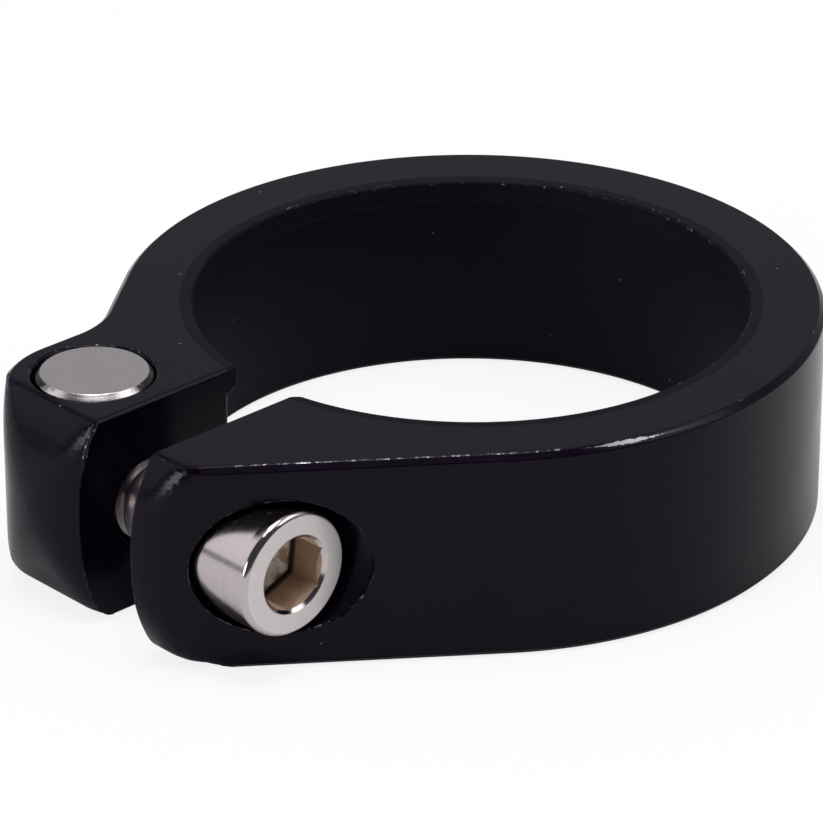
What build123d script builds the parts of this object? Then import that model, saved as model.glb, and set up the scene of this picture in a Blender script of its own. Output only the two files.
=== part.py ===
from build123d import *
import math
import os

# Seatpost clamp: a slit collar with two ears, a barrel nut and a socket head bolt.
# Millimetres and degrees. The origin is on the bore axis at half the collar's height.
# +Z is up through the lip, the slit and the ears point to -Y, and the bolt lies along X.

# Collar ring and lip
tube_bore_d = 35.0
wall = 3.75
height = 13.0
rim_break = 0.35
lip_reach = 0.75
lip_height = 1.35
lip_slope_height = 0.4
lip_break = 0.15

# Slit and ears
slit_width = 5.0
slit_break = 0.2
slit_mouth_round = 0.2
ear_crown = 2.0
ear_face_angle = 37.5
ear_corner = 6.0
ear_end_break = 0.15
nut_ear_fillet = 5.5

# Barrel nut and its hole
nut_d = 7.0
nut_length = 13.0
nut_chamfer = 0.33
nut_lift = 0.2
nut_pull = 0.1
nut_clearance = 0.15
nut_slit_wall = 1.35
nut_end_wall = 2.4
nut_flank_wall = 1.25
nut_hole_break = 0.15

# Bolt, its holes and its key socket
bolt_d = 5.0
bolt_length = 16.0
bolt_tip_chamfer = 0.6
bolt_standoff = 2.1
bolt_clearance = 0.25
bolt_hole_break = 0.1
thread_clearance = 0.05
head_d = 7.75
head_height = 5.0
head_round = 0.45
head_clearance = 0.3
head_seat_wall = 2.35
head_seat_gap = 0.14
hex_flats = 4.0
hex_turn = 22.0
hex_depth = 2.6
hex_mouth_d = 4.9
drill_point_angle = 118.0

# Worked out from the sizes above
bore_r = tube_bore_d / 2
lip_r = bore_r - lip_reach
outer_r = bore_r + wall
half_height = height / 2
half_slit = slit_width / 2
crown_r = (half_height**2 + ear_crown**2) / (2 * ear_crown)
bolt_y = -(outer_r + bolt_standoff)
bolt_r = bolt_d / 2
bolt_hole_r = bolt_r + bolt_clearance
nut_hole_r = nut_d / 2 + nut_clearance
nut_hole_x = -(half_slit + nut_slit_wall + nut_hole_r)
nut_x = nut_hole_x + nut_pull
nut_flank_x = nut_hole_x - nut_hole_r - nut_flank_wall
ear_end = nut_hole_r + nut_end_wall - bolt_y
counterbore_r = head_d / 2 + head_clearance
head_seat_x = half_slit + head_seat_wall
head_base_x = head_seat_x + head_seat_gap
head_face_x = head_base_x + head_height

# How far each cutting solid runs past what it cuts, and when two places count as the same
past = 1.0
tiny = 1e-5


def ear_face_x(y):
    """X of the bolt ear's flat outer face, which leaves the ring at a tangent, at a given Y."""
    angle = math.radians(ear_face_angle)
    return (outer_r + y * math.sin(angle)) / math.cos(angle)


def ear_face_y(x):
    """Y of the same flat face at a given X."""
    angle = math.radians(ear_face_angle)
    return (x * math.cos(angle) - outer_r) / math.sin(angle)


def on_bolt_axis(radius, start_x, end_x):
    """Cylinder on the bolt axis between two places along X."""
    return Pos((start_x + end_x) / 2, bolt_y, 0) * Rot(0, 90, 0) * Cylinder(radius, end_x - start_x)


def plan_outline():
    """Ring and both ears seen from above, before the slit is cut."""
    angle = math.radians(ear_face_angle)
    tangent_x = outer_r * math.cos(angle)
    tangent_y = -outer_r * math.sin(angle)
    ears = FilletPolyline(
        (tangent_x, tangent_y),
        (ear_face_x(-ear_end), -ear_end),
        (nut_flank_x, -ear_end),
        (nut_flank_x, ear_face_y(-nut_flank_x)),
        (-tangent_x, tangent_y),
        radius=[ear_corner, ear_corner, nut_ear_fillet],
    )
    ring = CenterArc((0, 0), outer_r, -ear_face_angle, 180 + 2 * ear_face_angle)
    return make_face(ears.edges() + ring.edges())


def crown_cut():
    """What comes off the ears' ends to leave one round surface with its axis along X."""
    depth = ear_crown + past
    width = 2 * (outer_r + past)
    slab = Pos(0, depth / 2 - ear_end - past, 0) * Box(width, depth, height + 2 * past)
    return slab - Pos(0, crown_r - ear_end, 0) * Rot(0, 90, 0) * Cylinder(crown_r, width)


def bore_cut():
    """Tube bore, sloped underside of the lip and lip opening, with both rims broken."""
    lip_base = half_height - lip_height
    foot_flare = rim_break + past
    lip_flare = lip_break + past
    section = Polyline(
        (0, -half_height - past),
        (bore_r + foot_flare, -half_height - past),
        (bore_r, -half_height + rim_break),
        (bore_r, lip_base - lip_slope_height),
        (lip_r, lip_base),
        (lip_r, half_height - lip_break),
        (lip_r + lip_flare, half_height + past),
        (0, half_height + past),
        close=True,
    )
    return revolve(Plane.XZ * make_face(section), Axis.Z)


def slit_cut():
    """Slit through the ring between the ears, from the bore axis past the ears' ends."""
    return Pos(0, -(ear_end + past) / 2, 0) * Box(slit_width, ear_end + past, height + 2 * past)


def slit_rim_cut():
    """Bevels along the slit's edges on the top and bottom faces."""
    low = half_height - slit_break
    high = half_height + past
    flare = half_slit + slit_break + past
    section = Polyline((half_slit, low), (flare, high), (-flare, high), (-half_slit, low), close=True)
    top = extrude(Plane.XZ * make_face(section), ear_end + past)
    return top + mirror(top, Plane.XY)


def slit_wall_edges(body):
    """Edges of the two flat faces that look at each other across the slit."""
    flats = body.faces().filter_by(Axis.X)
    return flats.filter_by(lambda face: abs(abs(face.center().X) - half_slit) < tiny).edges()


def make_collar():
    """Ring, lip and ears in one piece, with slit, nut hole, bolt hole and counterbore."""
    body = extrude(plan_outline(), half_height, both=True)
    rims = body.edges().filter_by(lambda edge: abs(edge.center().Z) > half_height - tiny)
    body = chamfer(rims, rim_break)
    body -= crown_cut()
    end_lines = body.edges().filter_by(Axis.X)
    end_lines = end_lines.filter_by(lambda edge: abs(edge.center().Z) > half_height - tiny)
    body = chamfer(end_lines, ear_end_break)
    body -= bore_cut()

    body -= slit_cut()
    body -= slit_rim_cut()
    mouth = slit_wall_edges(body).filter_by(lambda edge: edge.center().Y > -outer_r)
    mouth = mouth.filter_by(lambda edge: abs(edge.center().Z) < half_height - rim_break)
    body = fillet(mouth, slit_mouth_round)
    nut_ear_end = slit_wall_edges(body).filter_by(GeomType.CIRCLE).sort_by(Axis.X)[0]
    body = chamfer(nut_ear_end, slit_break)

    body -= Pos(nut_hole_x, bolt_y, 0) * Cylinder(nut_hole_r, height)
    nut_rims = body.edges().filter_by(GeomType.CIRCLE)
    nut_rims = nut_rims.filter_by(lambda edge: abs(edge.radius - nut_hole_r) < tiny)
    body = chamfer(nut_rims, nut_hole_break)

    body -= on_bolt_axis(bolt_hole_r, nut_flank_x - past, head_seat_x + past)
    body -= on_bolt_axis(counterbore_r, head_seat_x, outer_r)
    bolt_rims = slit_wall_edges(body).filter_by(GeomType.CIRCLE)
    bolt_rims = bolt_rims.filter_by(lambda edge: abs(edge.radius - bolt_hole_r) < tiny)
    return chamfer(bolt_rims, bolt_hole_break)


def make_barrel_nut():
    """Turned cross nut, upright in the nut ear, with its cross hole on the bolt axis."""
    nut = Cylinder(nut_d / 2, nut_length)
    nut = chamfer(nut.edges().filter_by(GeomType.CIRCLE), nut_chamfer)
    nut = Pos(nut_x, bolt_y, nut_lift) * nut
    return nut - on_bolt_axis(bolt_r + thread_clearance, nut_x - nut_d, nut_x + nut_d)


def make_clamp_bolt():
    """Socket head cap screw along X, with its head towards +X."""
    head = on_bolt_axis(head_d / 2, head_base_x, head_face_x)
    head = fillet(head.edges().sort_by(Axis.X)[-1], head_round)
    shank = on_bolt_axis(bolt_r, head_base_x - bolt_length, head_base_x + head_round)
    shank = chamfer(shank.edges().sort_by(Axis.X)[0], bolt_tip_chamfer)

    key_face = Plane(origin=(head_face_x, bolt_y, 0), x_dir=(0, 1, 0), z_dir=(1, 0, 0))
    flats_r = hex_flats / 2
    mouth_depth = hex_mouth_d / 2 - flats_r
    drill_depth = flats_r / math.tan(math.radians(drill_point_angle / 2))
    hexagon = RegularPolygon(flats_r, 6, major_radius=False, rotation=hex_turn)
    socket = extrude(key_face * hexagon, -hex_depth)
    mouth = key_face * Pos(0, 0, -mouth_depth / 2) * Cone(flats_r, hex_mouth_d / 2, mouth_depth)
    drill = key_face * Pos(0, 0, -hex_depth - drill_depth / 2) * Cone(0, flats_r, drill_depth)
    return head + shank - socket - mouth - drill


os.makedirs("parts", exist_ok=True)
export_step(make_collar(), "parts/collar.step")
export_step(make_barrel_nut(), "parts/barrel_nut.step")
export_step(make_clamp_bolt(), "parts/clamp_bolt.step")
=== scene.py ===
"""Seatpost clamp in a plain studio: black anodised collar, turned barrel nut and stainless socket head bolt."""

import logging
import math
from collections.abc import Callable
from dataclasses import dataclass, field
from enum import Enum

import bmesh
import bpy
from mathutils import Matrix, Vector


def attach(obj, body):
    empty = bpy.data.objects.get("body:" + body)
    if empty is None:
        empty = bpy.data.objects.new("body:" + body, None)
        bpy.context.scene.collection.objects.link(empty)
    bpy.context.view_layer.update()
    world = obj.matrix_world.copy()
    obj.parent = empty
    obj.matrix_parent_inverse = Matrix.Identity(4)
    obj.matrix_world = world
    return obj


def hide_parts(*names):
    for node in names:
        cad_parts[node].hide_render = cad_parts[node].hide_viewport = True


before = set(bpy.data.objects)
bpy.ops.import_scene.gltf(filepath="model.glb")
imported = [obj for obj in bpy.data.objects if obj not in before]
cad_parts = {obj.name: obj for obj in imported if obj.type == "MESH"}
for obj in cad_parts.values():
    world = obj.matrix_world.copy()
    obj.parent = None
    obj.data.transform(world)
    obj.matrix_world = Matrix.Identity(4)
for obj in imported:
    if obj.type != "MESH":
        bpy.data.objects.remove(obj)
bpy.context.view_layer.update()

log = logging.getLogger("seatpost_clamp")
MM = 0.001
WORN = "worn"
SAME_PLACE = 0.004
SHARP_DEG = 24.0
EDGE_SEGMENTS = 2
Point2 = tuple[float, float]
Triple = tuple[float, float, float]
Surface = tuple[float, Vector]
Mesh = bmesh.types.BMesh
Piece = bpy.types.Object
Socket = bpy.types.NodeSocket
Feed = Socket | float | tuple[float, ...]
Sources = dict[str | int, Feed]


class Along(Enum):
    """The axis that a turned or drawn shape lies along."""

    X = "X"
    Y = "Y"
    Z = "Z"

    def matrix(self) -> Matrix:
        """Turns local Z onto this axis, with local X kept square to it.

        Returns:
            The turn as a matrix.
        """
        if self is Along.X:
            return Matrix(((0, 0, 1), (1, 0, 0), (0, 1, 0))).to_4x4()
        if self is Along.Y:
            return Matrix(((1, 0, 0), (0, 0, 1), (0, -1, 0))).to_4x4()
        return Matrix.Identity(4)


class Join(Enum):
    """How two closed shapes are combined."""

    CUT = "DIFFERENCE"
    ADD = "UNION"


class Shop:
    """Mesh work that more than one piece needs. All sizes are in millimetres."""

    @staticmethod
    def turned(profile: list[Point2], along: Along, centre: Vector, steps: int) -> Mesh:
        """Spins a profile into a closed turned shape.

        Args:
            profile: Radius and place along the axis of each corner, in order.
            along: The axis of the turned shape.
            centre: A point on the axis, from which the places are measured.
            steps: Number of steps in a full turn.

        Returns:
            The turned shape with its normals outwards.
        """
        bm = bmesh.new()
        corners = [bm.verts.new((radius, 0.0, place)) for radius, place in profile]
        edges = [bm.edges.new(pair) for pair in zip(corners, corners[1:])]
        if profile[0][0] > 0.0:
            edges.append(bm.edges.new((corners[-1], corners[0])))
        bmesh.ops.spin(
            bm, geom=corners + edges, cent=(0, 0, 0), axis=(0, 0, 1), angle=math.tau, steps=steps, use_merge=True
        )
        bmesh.ops.remove_doubles(bm, verts=bm.verts, dist=1e-5)
        bmesh.ops.recalc_face_normals(bm, faces=bm.faces)
        bmesh.ops.transform(bm, matrix=Matrix.Translation(centre) @ along.matrix(), verts=bm.verts)
        return bm

    @staticmethod
    def drawn(section: list[Point2], along: Along, start: float, end: float) -> Mesh:
        """Extrudes a flat section into a closed bar.

        Args:
            section: Corners of the section, in the plane square to the axis.
            along: The axis of the bar.
            start: Place along the axis where the bar starts.
            end: Place along the axis where the bar ends.

        Returns:
            The bar with its normals outwards.
        """
        bm = bmesh.new()
        face = bm.faces.new([bm.verts.new((u, v, start)) for u, v in section])
        grown = bmesh.ops.extrude_face_region(bm, geom=[face])["geom"]
        moved = [item for item in grown if isinstance(item, bmesh.types.BMVert)]
        bmesh.ops.translate(bm, vec=(0, 0, end - start), verts=moved)
        bmesh.ops.recalc_face_normals(bm, faces=bm.faces)
        bmesh.ops.transform(bm, matrix=along.matrix(), verts=bm.verts)
        return bm

    @staticmethod
    def to_object(bm: Mesh, name: str) -> Piece:
        """Puts a mesh into the scene as a new object and frees it.

        Args:
            bm: The mesh.
            name: Name of the object and its mesh.

        Returns:
            The new object, at the origin.
        """
        mesh = bpy.data.meshes.new(name)
        bm.to_mesh(mesh)
        bm.free()
        made = bpy.data.objects.new(name, mesh)
        bpy.context.scene.collection.objects.link(made)
        return made

    @staticmethod
    def settle(piece: Piece) -> None:
        """Applies the modifiers of a piece to its mesh.

        Args:
            piece: The piece.
        """
        graph = bpy.context.evaluated_depsgraph_get()
        graph.update()
        old = piece.data
        piece.data = bpy.data.meshes.new_from_object(piece.evaluated_get(graph))
        piece.modifiers.clear()
        bpy.data.meshes.remove(old)
        piece.data.name = piece.name

    @staticmethod
    def combine(piece: Piece, tool: Mesh, join: Join) -> None:
        """Cuts a tool from a piece, or joins it on, and removes the tool.

        Args:
            piece: The piece that is changed.
            tool: The closed shape that is cut away or added.
            join: Whether the tool is cut or added.
        """
        other = Shop.to_object(tool, "tool")
        step = piece.modifiers.new("combine", "BOOLEAN")
        step.operation = join.value
        step.solver = "EXACT"
        step.object = other
        Shop.settle(piece)
        mesh = other.data
        bpy.data.objects.remove(other)
        bpy.data.meshes.remove(mesh)

    @staticmethod
    def rounded(corners: list[Vector], radii: list[float], step_deg: float) -> list[Vector]:
        """Rounds the inner corners of an open flat path.

        Args:
            corners: Corners of the path, with its two ends.
            radii: Radius at each corner between the ends.
            step_deg: Largest angle that one edge of an arc turns by.

        Returns:
            The points of the rounded path.
        """
        path = [corners[0]]
        for before, corner, after, radius in zip(corners, corners[1:], corners[2:], radii):
            back = (before - corner).normalized()
            ahead = (after - corner).normalized()
            half = back.angle(ahead) / 2
            centre = corner + (back + ahead).normalized() * (radius / math.sin(half))
            first = corner + back * (radius / math.tan(half)) - centre
            last = corner + ahead * (radius / math.tan(half)) - centre
            turn = first.angle_signed(last)
            count = max(2, round(abs(math.degrees(turn)) / step_deg))
            for index in range(count + 1):
                swung = first.copy()
                swung.rotate(Matrix.Rotation(-turn * index / count, 2))
                path.append(centre + swung)
        path.append(corners[-1])
        return path

    @staticmethod
    def bevel(bm: Mesh, edges: list[bmesh.types.BMEdge], width: float, segments: int) -> list[bmesh.types.BMFace]:
        """Bevels some edges of a mesh.

        Args:
            bm: The mesh.
            edges: The edges.
            width: Width that comes off each side of an edge.
            segments: Number of faces across the bevel.

        Returns:
            The new faces.
        """
        made = bmesh.ops.bevel(
            bm,
            geom=edges,
            offset=width,
            offset_type="OFFSET",
            segments=segments,
            profile=0.5,
            affect="EDGES",
            clamp_overlap=False,
            material=-1,
        )
        return made["faces"]

    @staticmethod
    def opened(piece: Piece) -> Mesh:
        """Opens a piece's mesh for editing and merges points that all but touch.

        Args:
            piece: The piece.

        Returns:
            The mesh.
        """
        bm = bmesh.new()
        bm.from_mesh(piece.data)
        bmesh.ops.remove_doubles(bm, verts=bm.verts, dist=SAME_PLACE)
        return bm

    @staticmethod
    def edged(piece: Piece, bm: Mesh, width: float, wear: Callable[[Vector], float]) -> None:
        """Rounds every sharp edge, marks how worn the new faces are and puts the mesh back into its piece.

        Args:
            piece: The piece.
            bm: Its opened mesh, which is freed.
            width: Width that comes off each side of an edge.
            wear: Gives the wear at a place, from 0 to 1.
        """
        layer = bm.faces.layers.float.get(WORN) or bm.faces.layers.float.new(WORN)
        limit = math.radians(SHARP_DEG)
        sharp = [e for e in bm.edges if len(e.link_faces) == 2 and e.calc_face_angle(0.0) > limit]
        for face in Shop.bevel(bm, sharp, width, EDGE_SEGMENTS):
            face[layer] = wear(face.calc_center_median())
        bm.to_mesh(piece.data)
        bm.free()

    @staticmethod
    def smooth(piece: Piece, sharp_deg: float) -> None:
        """Shades a piece smooth, with its large faces kept flat and its sharp edges kept sharp.

        Args:
            piece: The piece.
            sharp_deg: Angle between faces past which an edge stays sharp.
        """
        mesh = piece.data
        mesh.shade_smooth()
        mesh.set_sharp_from_angle(angle=math.radians(sharp_deg))
        even = piece.modifiers.new("even", "WEIGHTED_NORMAL")
        even.mode = "FACE_AREA"
        even.weight = 80
        even.keep_sharp = True
        Shop.settle(piece)

    @staticmethod
    def to_metres(piece: Piece) -> None:
        """Scales the mesh of a finished piece from millimetres to metres."""
        piece.data.transform(Matrix.Scale(MM, 4))


class Op(Enum):
    """What a math node does."""

    ADD = "ADD"
    TAKE = "SUBTRACT"
    TIMES = "MULTIPLY"
    MOST = "MAXIMUM"
    SIZE = "ABSOLUTE"
    OVER = "GREATER_THAN"
    ROOT = "SQRT"
    ANGLE = "ARCTAN2"


class Graph:
    """Places and joins shader nodes in one material or node group."""

    def __init__(self, tree: bpy.types.NodeTree) -> None:
        """Takes the node tree to work in."""
        self.tree = tree

    def node(self, kind: str, sources: Sources | None = None, **options: str) -> bpy.types.Node:
        """Adds a node.

        Args:
            kind: The node's type, without the part that all shader nodes share.
            sources: What feeds its inputs, by name or number.
            options: Settings of the node.

        Returns:
            The new node.
        """
        made = self.tree.nodes.new("ShaderNode" + kind)
        for name, value in options.items():
            setattr(made, name, value)
        self.fill(made, sources or {})
        return made

    def fill(self, node: bpy.types.Node, sources: Sources) -> None:
        """Feeds inputs of a node.

        Args:
            node: The node.
            sources: What feeds its inputs, by name or number.
        """
        for name, source in sources.items():
            self.feed(node.inputs[name], source)

    def feed(self, target: Socket, source: Feed) -> None:
        """Links an output to a socket, or sets the socket's own value.

        Args:
            target: The socket that is fed.
            source: An output socket, or a plain value or colour.
        """
        if isinstance(source, Socket):
            self.tree.links.new(source, target)
        else:
            target.default_value = (*source, 1.0) if target.type == "RGBA" else source

    def math(self, op: Op, first: Feed, *others: Feed) -> Socket:
        """Works values together with math nodes, from left to right.

        Args:
            op: What each node does.
            first: The first value.
            others: The values that follow it, if the node takes more than one.

        Returns:
            The result.
        """
        result = first
        for other in others or (0.0,):
            result = self.node("Math", {0: result, 1: other}, operation=op.value).outputs[0]
        return result

    def plus(self, *values: Feed) -> Socket:
        """Adds values."""
        return self.math(Op.ADD, *values)

    def minus(self, first: Feed, second: Feed) -> Socket:
        """Takes the second value from the first."""
        return self.math(Op.TAKE, first, second)

    def times(self, *values: Feed) -> Socket:
        """Multiplies values."""
        return self.math(Op.TIMES, *values)

    def weigh(self, *pairs: tuple[Feed, float]) -> Socket:
        """Adds values, each times its weight."""
        return self.plus(*(self.times(value, weight) for value, weight in pairs))

    def ramp(self, value: Feed, low: float, high: float, start: float = 0.0, end: float = 1.0) -> Socket:
        """Turns a range of values softly into another, held at both ends.

        Args:
            value: The value that is turned.
            low: Where the range starts.
            high: Where the range ends.
            start: Result at its start.
            end: Result at its end.

        Returns:
            The result.
        """
        sources = {"Value": value, "From Min": low, "From Max": high, "To Min": start, "To Max": end}
        return self.node("MapRange", sources, interpolation_type="SMOOTHSTEP").outputs["Result"]

    def noise(self, vector: Feed, scale: Feed, detail: float, roughness: float = 0.5) -> Socket:
        """Adds a soft random pattern.

        Args:
            vector: Place on the piece, in millimetres.
            scale: Patches to the millimetre.
            detail: Number of finer layers.
            roughness: Share of each finer layer.

        Returns:
            A value that is mostly between a quarter and three quarters.
        """
        sources = {"Vector": vector, "Scale": scale, "Detail": detail, "Roughness": roughness}
        return self.node("TexNoise", sources).outputs[0]

    def blend(self, share: Feed, first: Feed, second: Feed) -> Socket:
        """Blends two colours by the share of the second."""
        return self.node("Mix", {0: share, 6: first, 7: second}, data_type="RGBA").outputs[2]

    def lean(self, share: Feed, first: Feed, second: Feed) -> Socket:
        """Blends two values by the share of the second."""
        return self.node("Mix", {0: share, 2: first, 3: second}, data_type="FLOAT").outputs[0]

    def millimetres(self, shift: Triple = (0.0, 0.0, 0.0), turn: Triple = (0.0, 0.0, 0.0)) -> Socket:
        """Place on the piece in millimetres.

        Args:
            shift: Moves the pattern, in millimetres.
            turn: Turns the pattern, in degrees.

        Returns:
            The place as a vector.
        """
        place = self.node("TexCoord").outputs["Object"]
        scaled = {"Vector": place, "Location": shift, "Scale": (1.0 / MM, 1.0 / MM, 1.0 / MM)}
        place = self.node("Mapping", scaled, vector_type="POINT").outputs["Vector"]
        if turn == (0.0, 0.0, 0.0):
            return place
        turned = {"Vector": place, "Rotation": tuple(math.radians(angle) for angle in turn)}
        return self.node("Mapping", turned, vector_type="POINT").outputs["Vector"]

    def parts(self, vector: Feed) -> tuple[Socket, ...]:
        """The X, Y and Z of a vector."""
        return tuple(self.node("SeparateXYZ", {0: vector}).outputs)

    def away(self, first: Feed, second: Feed) -> Socket:
        """Length of the long side over two short sides."""
        return self.math(Op.ROOT, self.plus(self.times(first, first), self.times(second, second)))


class Effect:
    """A shader node group with named inputs and outputs, built once and placed in several finishes."""

    name: str = "effect"
    numbers: dict[str, float] = {}
    results: tuple[str, ...] = ()

    def wire(self, graph: Graph, given: dict[str, Socket]) -> tuple[Feed, ...]:
        """Fills the group.

        Args:
            graph: The inside of the group.
            given: The group's inputs by name.

        Returns:
            What feeds each of its outputs, in order.
        """
        raise NotImplementedError

    def place(self, graph: Graph, vector: Feed, **values: Feed) -> dict[str, Socket]:
        """Puts the group into a finish.

        Args:
            graph: The finish.
            vector: Place on the piece, in millimetres.
            values: The group's numbers for this finish.

        Returns:
            The outputs of the placed group by name.
        """
        tree = bpy.data.node_groups.get(self.name) or self.build()
        made = graph.node("Group")
        made.node_tree = tree
        graph.fill(made, {"Vector": vector, **values})
        return {result: made.outputs[result] for result in self.results}

    def build(self) -> bpy.types.NodeTree:
        """Makes the group with its sockets.

        Returns:
            The node group.
        """
        tree = bpy.data.node_groups.new(self.name, "ShaderNodeTree")
        tree.interface.new_socket("Vector", in_out="INPUT", socket_type="NodeSocketVector")
        for name, usual in self.numbers.items():
            tree.interface.new_socket(name, in_out="INPUT", socket_type="NodeSocketFloat").default_value = usual
        for name in self.results:
            tree.interface.new_socket(name, in_out="OUTPUT", socket_type="NodeSocketFloat")
        graph = Graph(tree)
        start = tree.nodes.new("NodeGroupInput")
        end = tree.nodes.new("NodeGroupOutput")
        given = {socket.name: socket for socket in start.outputs if socket.name}
        graph.fill(end, dict(zip(self.results, self.wire(graph, given))))
        return tree


class EdgeWear(Effect):
    """Broken lines of bare metal along edges that the mesh marks as worn."""

    name = "edge_wear"
    numbers = {"Scale": 2.5, "Level": 1.0}
    results = ("Mask",)
    bare_from: float = 0.92
    bare_to: float = 1.22

    def wire(self, graph: Graph, given: dict[str, Socket]) -> tuple[Feed, ...]:
        """Lets the mark through where a broken pattern is high enough.

        Args:
            graph: The inside of the group.
            given: The group's inputs by name.

        Returns:
            What feeds each output, in order.
        """
        mark = graph.node("Attribute", attribute_type="GEOMETRY", attribute_name=WORN).outputs["Fac"]
        level = graph.times(mark, given["Level"])
        pattern = graph.noise(given["Vector"], given["Scale"], 5.0, 0.7)
        return (graph.ramp(graph.plus(level, pattern), self.bare_from, self.bare_to),)


class Grain(Effect):
    """Fine even unevenness of a blasted or rolled surface."""

    name = "fine_grain"
    numbers = {"Scale": 8.0}
    results = ("Height", "Tone")

    def wire(self, graph: Graph, given: dict[str, Socket]) -> tuple[Feed, ...]:
        """Sets fine grains on slow waves.

        Args:
            graph: The inside of the group.
            given: The group's inputs by name.

        Returns:
            What feeds each output, in order.
        """
        fine = graph.noise(given["Vector"], given["Scale"], 3.0, 0.6)
        slow = graph.noise(given["Vector"], graph.times(given["Scale"], 0.06), 2.0)
        height = graph.weigh((fine, 0.4), (slow, 0.6))
        tone = graph.weigh((fine, 0.6), (slow, 0.4))
        return height, graph.ramp(tone, 0.3, 0.7)


class Specks(Effect):
    """Sparse small round specks."""

    name = "sparse_specks"
    numbers = {"Scale": 1.0, "Share": 0.05, "Reach": 0.08}
    results = ("Mask",)

    def wire(self, graph: Graph, given: dict[str, Socket]) -> tuple[Feed, ...]:
        """Keeps the middle of a few cells of a cell pattern.

        Args:
            graph: The inside of the group.
            given: The group's inputs by name.

        Returns:
            What feeds each output, in order.
        """
        sources = {name: given[name] for name in ("Vector", "Scale")}
        cells = graph.node("TexVoronoi", sources, feature="F1", voronoi_dimensions="3D")
        chance = graph.parts(cells.outputs["Color"])[0]
        kept = graph.math(Op.OVER, given["Share"], chance)
        near = graph.math(Op.OVER, given["Reach"], cells.outputs["Distance"])
        return (graph.times(kept, near),)


class TurnedMarks(Effect):
    """Fine rings round the Z axis, as a turning tool leaves them."""

    name = "turned_marks"
    numbers = {"Scale": 9.0}
    results = ("Height", "Tone")

    def wire(self, graph: Graph, given: dict[str, Socket]) -> tuple[Feed, ...]:
        """Makes a random pattern change with the distance from the axis, and a little round it.

        Args:
            graph: The inside of the group.
            given: The group's inputs by name.

        Returns:
            What feeds each output, in order.
        """
        x, y, z = graph.parts(given["Vector"])
        out = graph.times(graph.away(x, y), given["Scale"])
        around = graph.times(graph.math(Op.ANGLE, y, x), 0.35)
        ring = graph.node("CombineXYZ", {0: out, 1: around, 2: graph.times(z, given["Scale"])})
        rings = graph.noise(ring.outputs[0], 1.0, 3.0, 0.65)
        return rings, graph.ramp(rings, 0.3, 0.7)


EDGE_WEAR = EdgeWear()
GRAIN = Grain()
SPECKS = Specks()
TURNED_MARKS = TurnedMarks()


@dataclass(frozen=True)
class BlackAnodised:
    """Satin black anodised aluminium with a violet tone, dust and bare metal at worn edges."""

    dye: Triple = (0.0024, 0.0005, 0.0056)
    dye_light: Triple = (0.0036, 0.0012, 0.0074)
    bare: Triple = (0.62, 0.60, 0.62)
    dust: Triple = (0.12, 0.115, 0.125)
    ior: float = 1.2
    satin: float = 0.17
    dull: float = 0.25
    rim_r: float = 21.075
    rim_z: float = 6.325
    patch_deg: float = -19.0
    patch_reach_deg: float = 10.0
    patch_end_deg: float = -2.0
    bore_r: float = 17.5
    bore_rough: float = 0.55
    crown_y: float = -26.6
    crown_z: float = 3.1

    def rim_patch(self, graph: Graph, place: Feed) -> Socket:
        """Long tapered patch along the front of the upper rim where the black has rubbed off.

        Args:
            graph: The material.
            place: Place on the piece, in millimetres.

        Returns:
            The mask of the patch.
        """
        x, y, z = graph.parts(place)
        out = graph.minus(graph.away(x, y), self.rim_r)
        over = graph.minus(z, self.rim_z)
        proud = graph.ramp(graph.math(Op.SIZE, graph.plus(out, over)), 0.05, 0.12, 1.0, 0.0)
        angle = graph.minus(graph.math(Op.ANGLE, y, x), math.radians(self.patch_deg))
        middle = graph.plus(graph.times(angle, 0.55), -0.1)
        across = graph.math(Op.SIZE, graph.minus(graph.minus(out, over), middle))
        along = graph.ramp(graph.math(Op.SIZE, angle), 0.0, math.radians(self.patch_reach_deg), 1.0, 0.0)
        rough = graph.times(graph.noise(place, 3.0, 4.0, 0.7), 0.45)
        edge = graph.minus(graph.times(along, 0.3), graph.plus(across, rough))
        patch = graph.ramp(edge, -0.16, -0.04, 0.0, 0.6)
        begun = graph.ramp(angle, math.radians(-7), 0.0)
        ended = graph.ramp(angle, 0.0, math.radians(self.patch_end_deg - self.patch_deg), 0.16, 0.0)
        tail = graph.times(begun, ended, graph.ramp(across, 0.03, 0.12, 1.0, 0.0))
        return graph.times(proud, graph.math(Op.MOST, patch, tail))

    def make(self) -> bpy.types.Material:
        """Builds the material.

        Returns:
            The material.
        """
        material, graph, shader = new_material("black_anodised")
        place = graph.millimetres()
        x, y, z = graph.parts(place)
        grain = GRAIN.place(graph, place, Scale=7.0)
        worn = EDGE_WEAR.place(graph, place, Scale=2.2, Level=1.0)["Mask"]
        worn = graph.math(Op.MOST, worn, self.rim_patch(graph, place))
        dust = SPECKS.place(graph, place, Scale=0.7, Share=0.12, Reach=0.05)["Mask"]
        colour = graph.blend(grain["Tone"], self.dye, self.dye_light)
        colour = graph.blend(worn, colour, self.bare)
        graph.feed(shader.inputs["Base Color"], graph.blend(dust, colour, self.dust))
        graph.feed(shader.inputs["Metallic"], worn)
        bore = graph.ramp(graph.away(x, y), self.bore_r + 0.1, self.bore_r + 0.02)
        satin = graph.lean(bore, graph.lean(grain["Tone"], self.satin, self.dull), self.bore_rough)
        graph.feed(shader.inputs["Roughness"], graph.lean(worn, satin, 0.3))
        shader.inputs["IOR"].default_value = self.ior
        end = graph.ramp(y, self.crown_y + 0.4, self.crown_y, 0.0, 1.0)
        upper = graph.times(end, graph.ramp(z, self.crown_z, self.crown_z + 0.8))
        peel = graph.times(upper, graph.noise(place, 3.2, 4.0, 0.6))
        height = graph.weigh((grain["Height"], 0.4), (peel, 0.5))
        bump(graph, shader, height, 0.012 * MM, 0.6)
        return material


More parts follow.
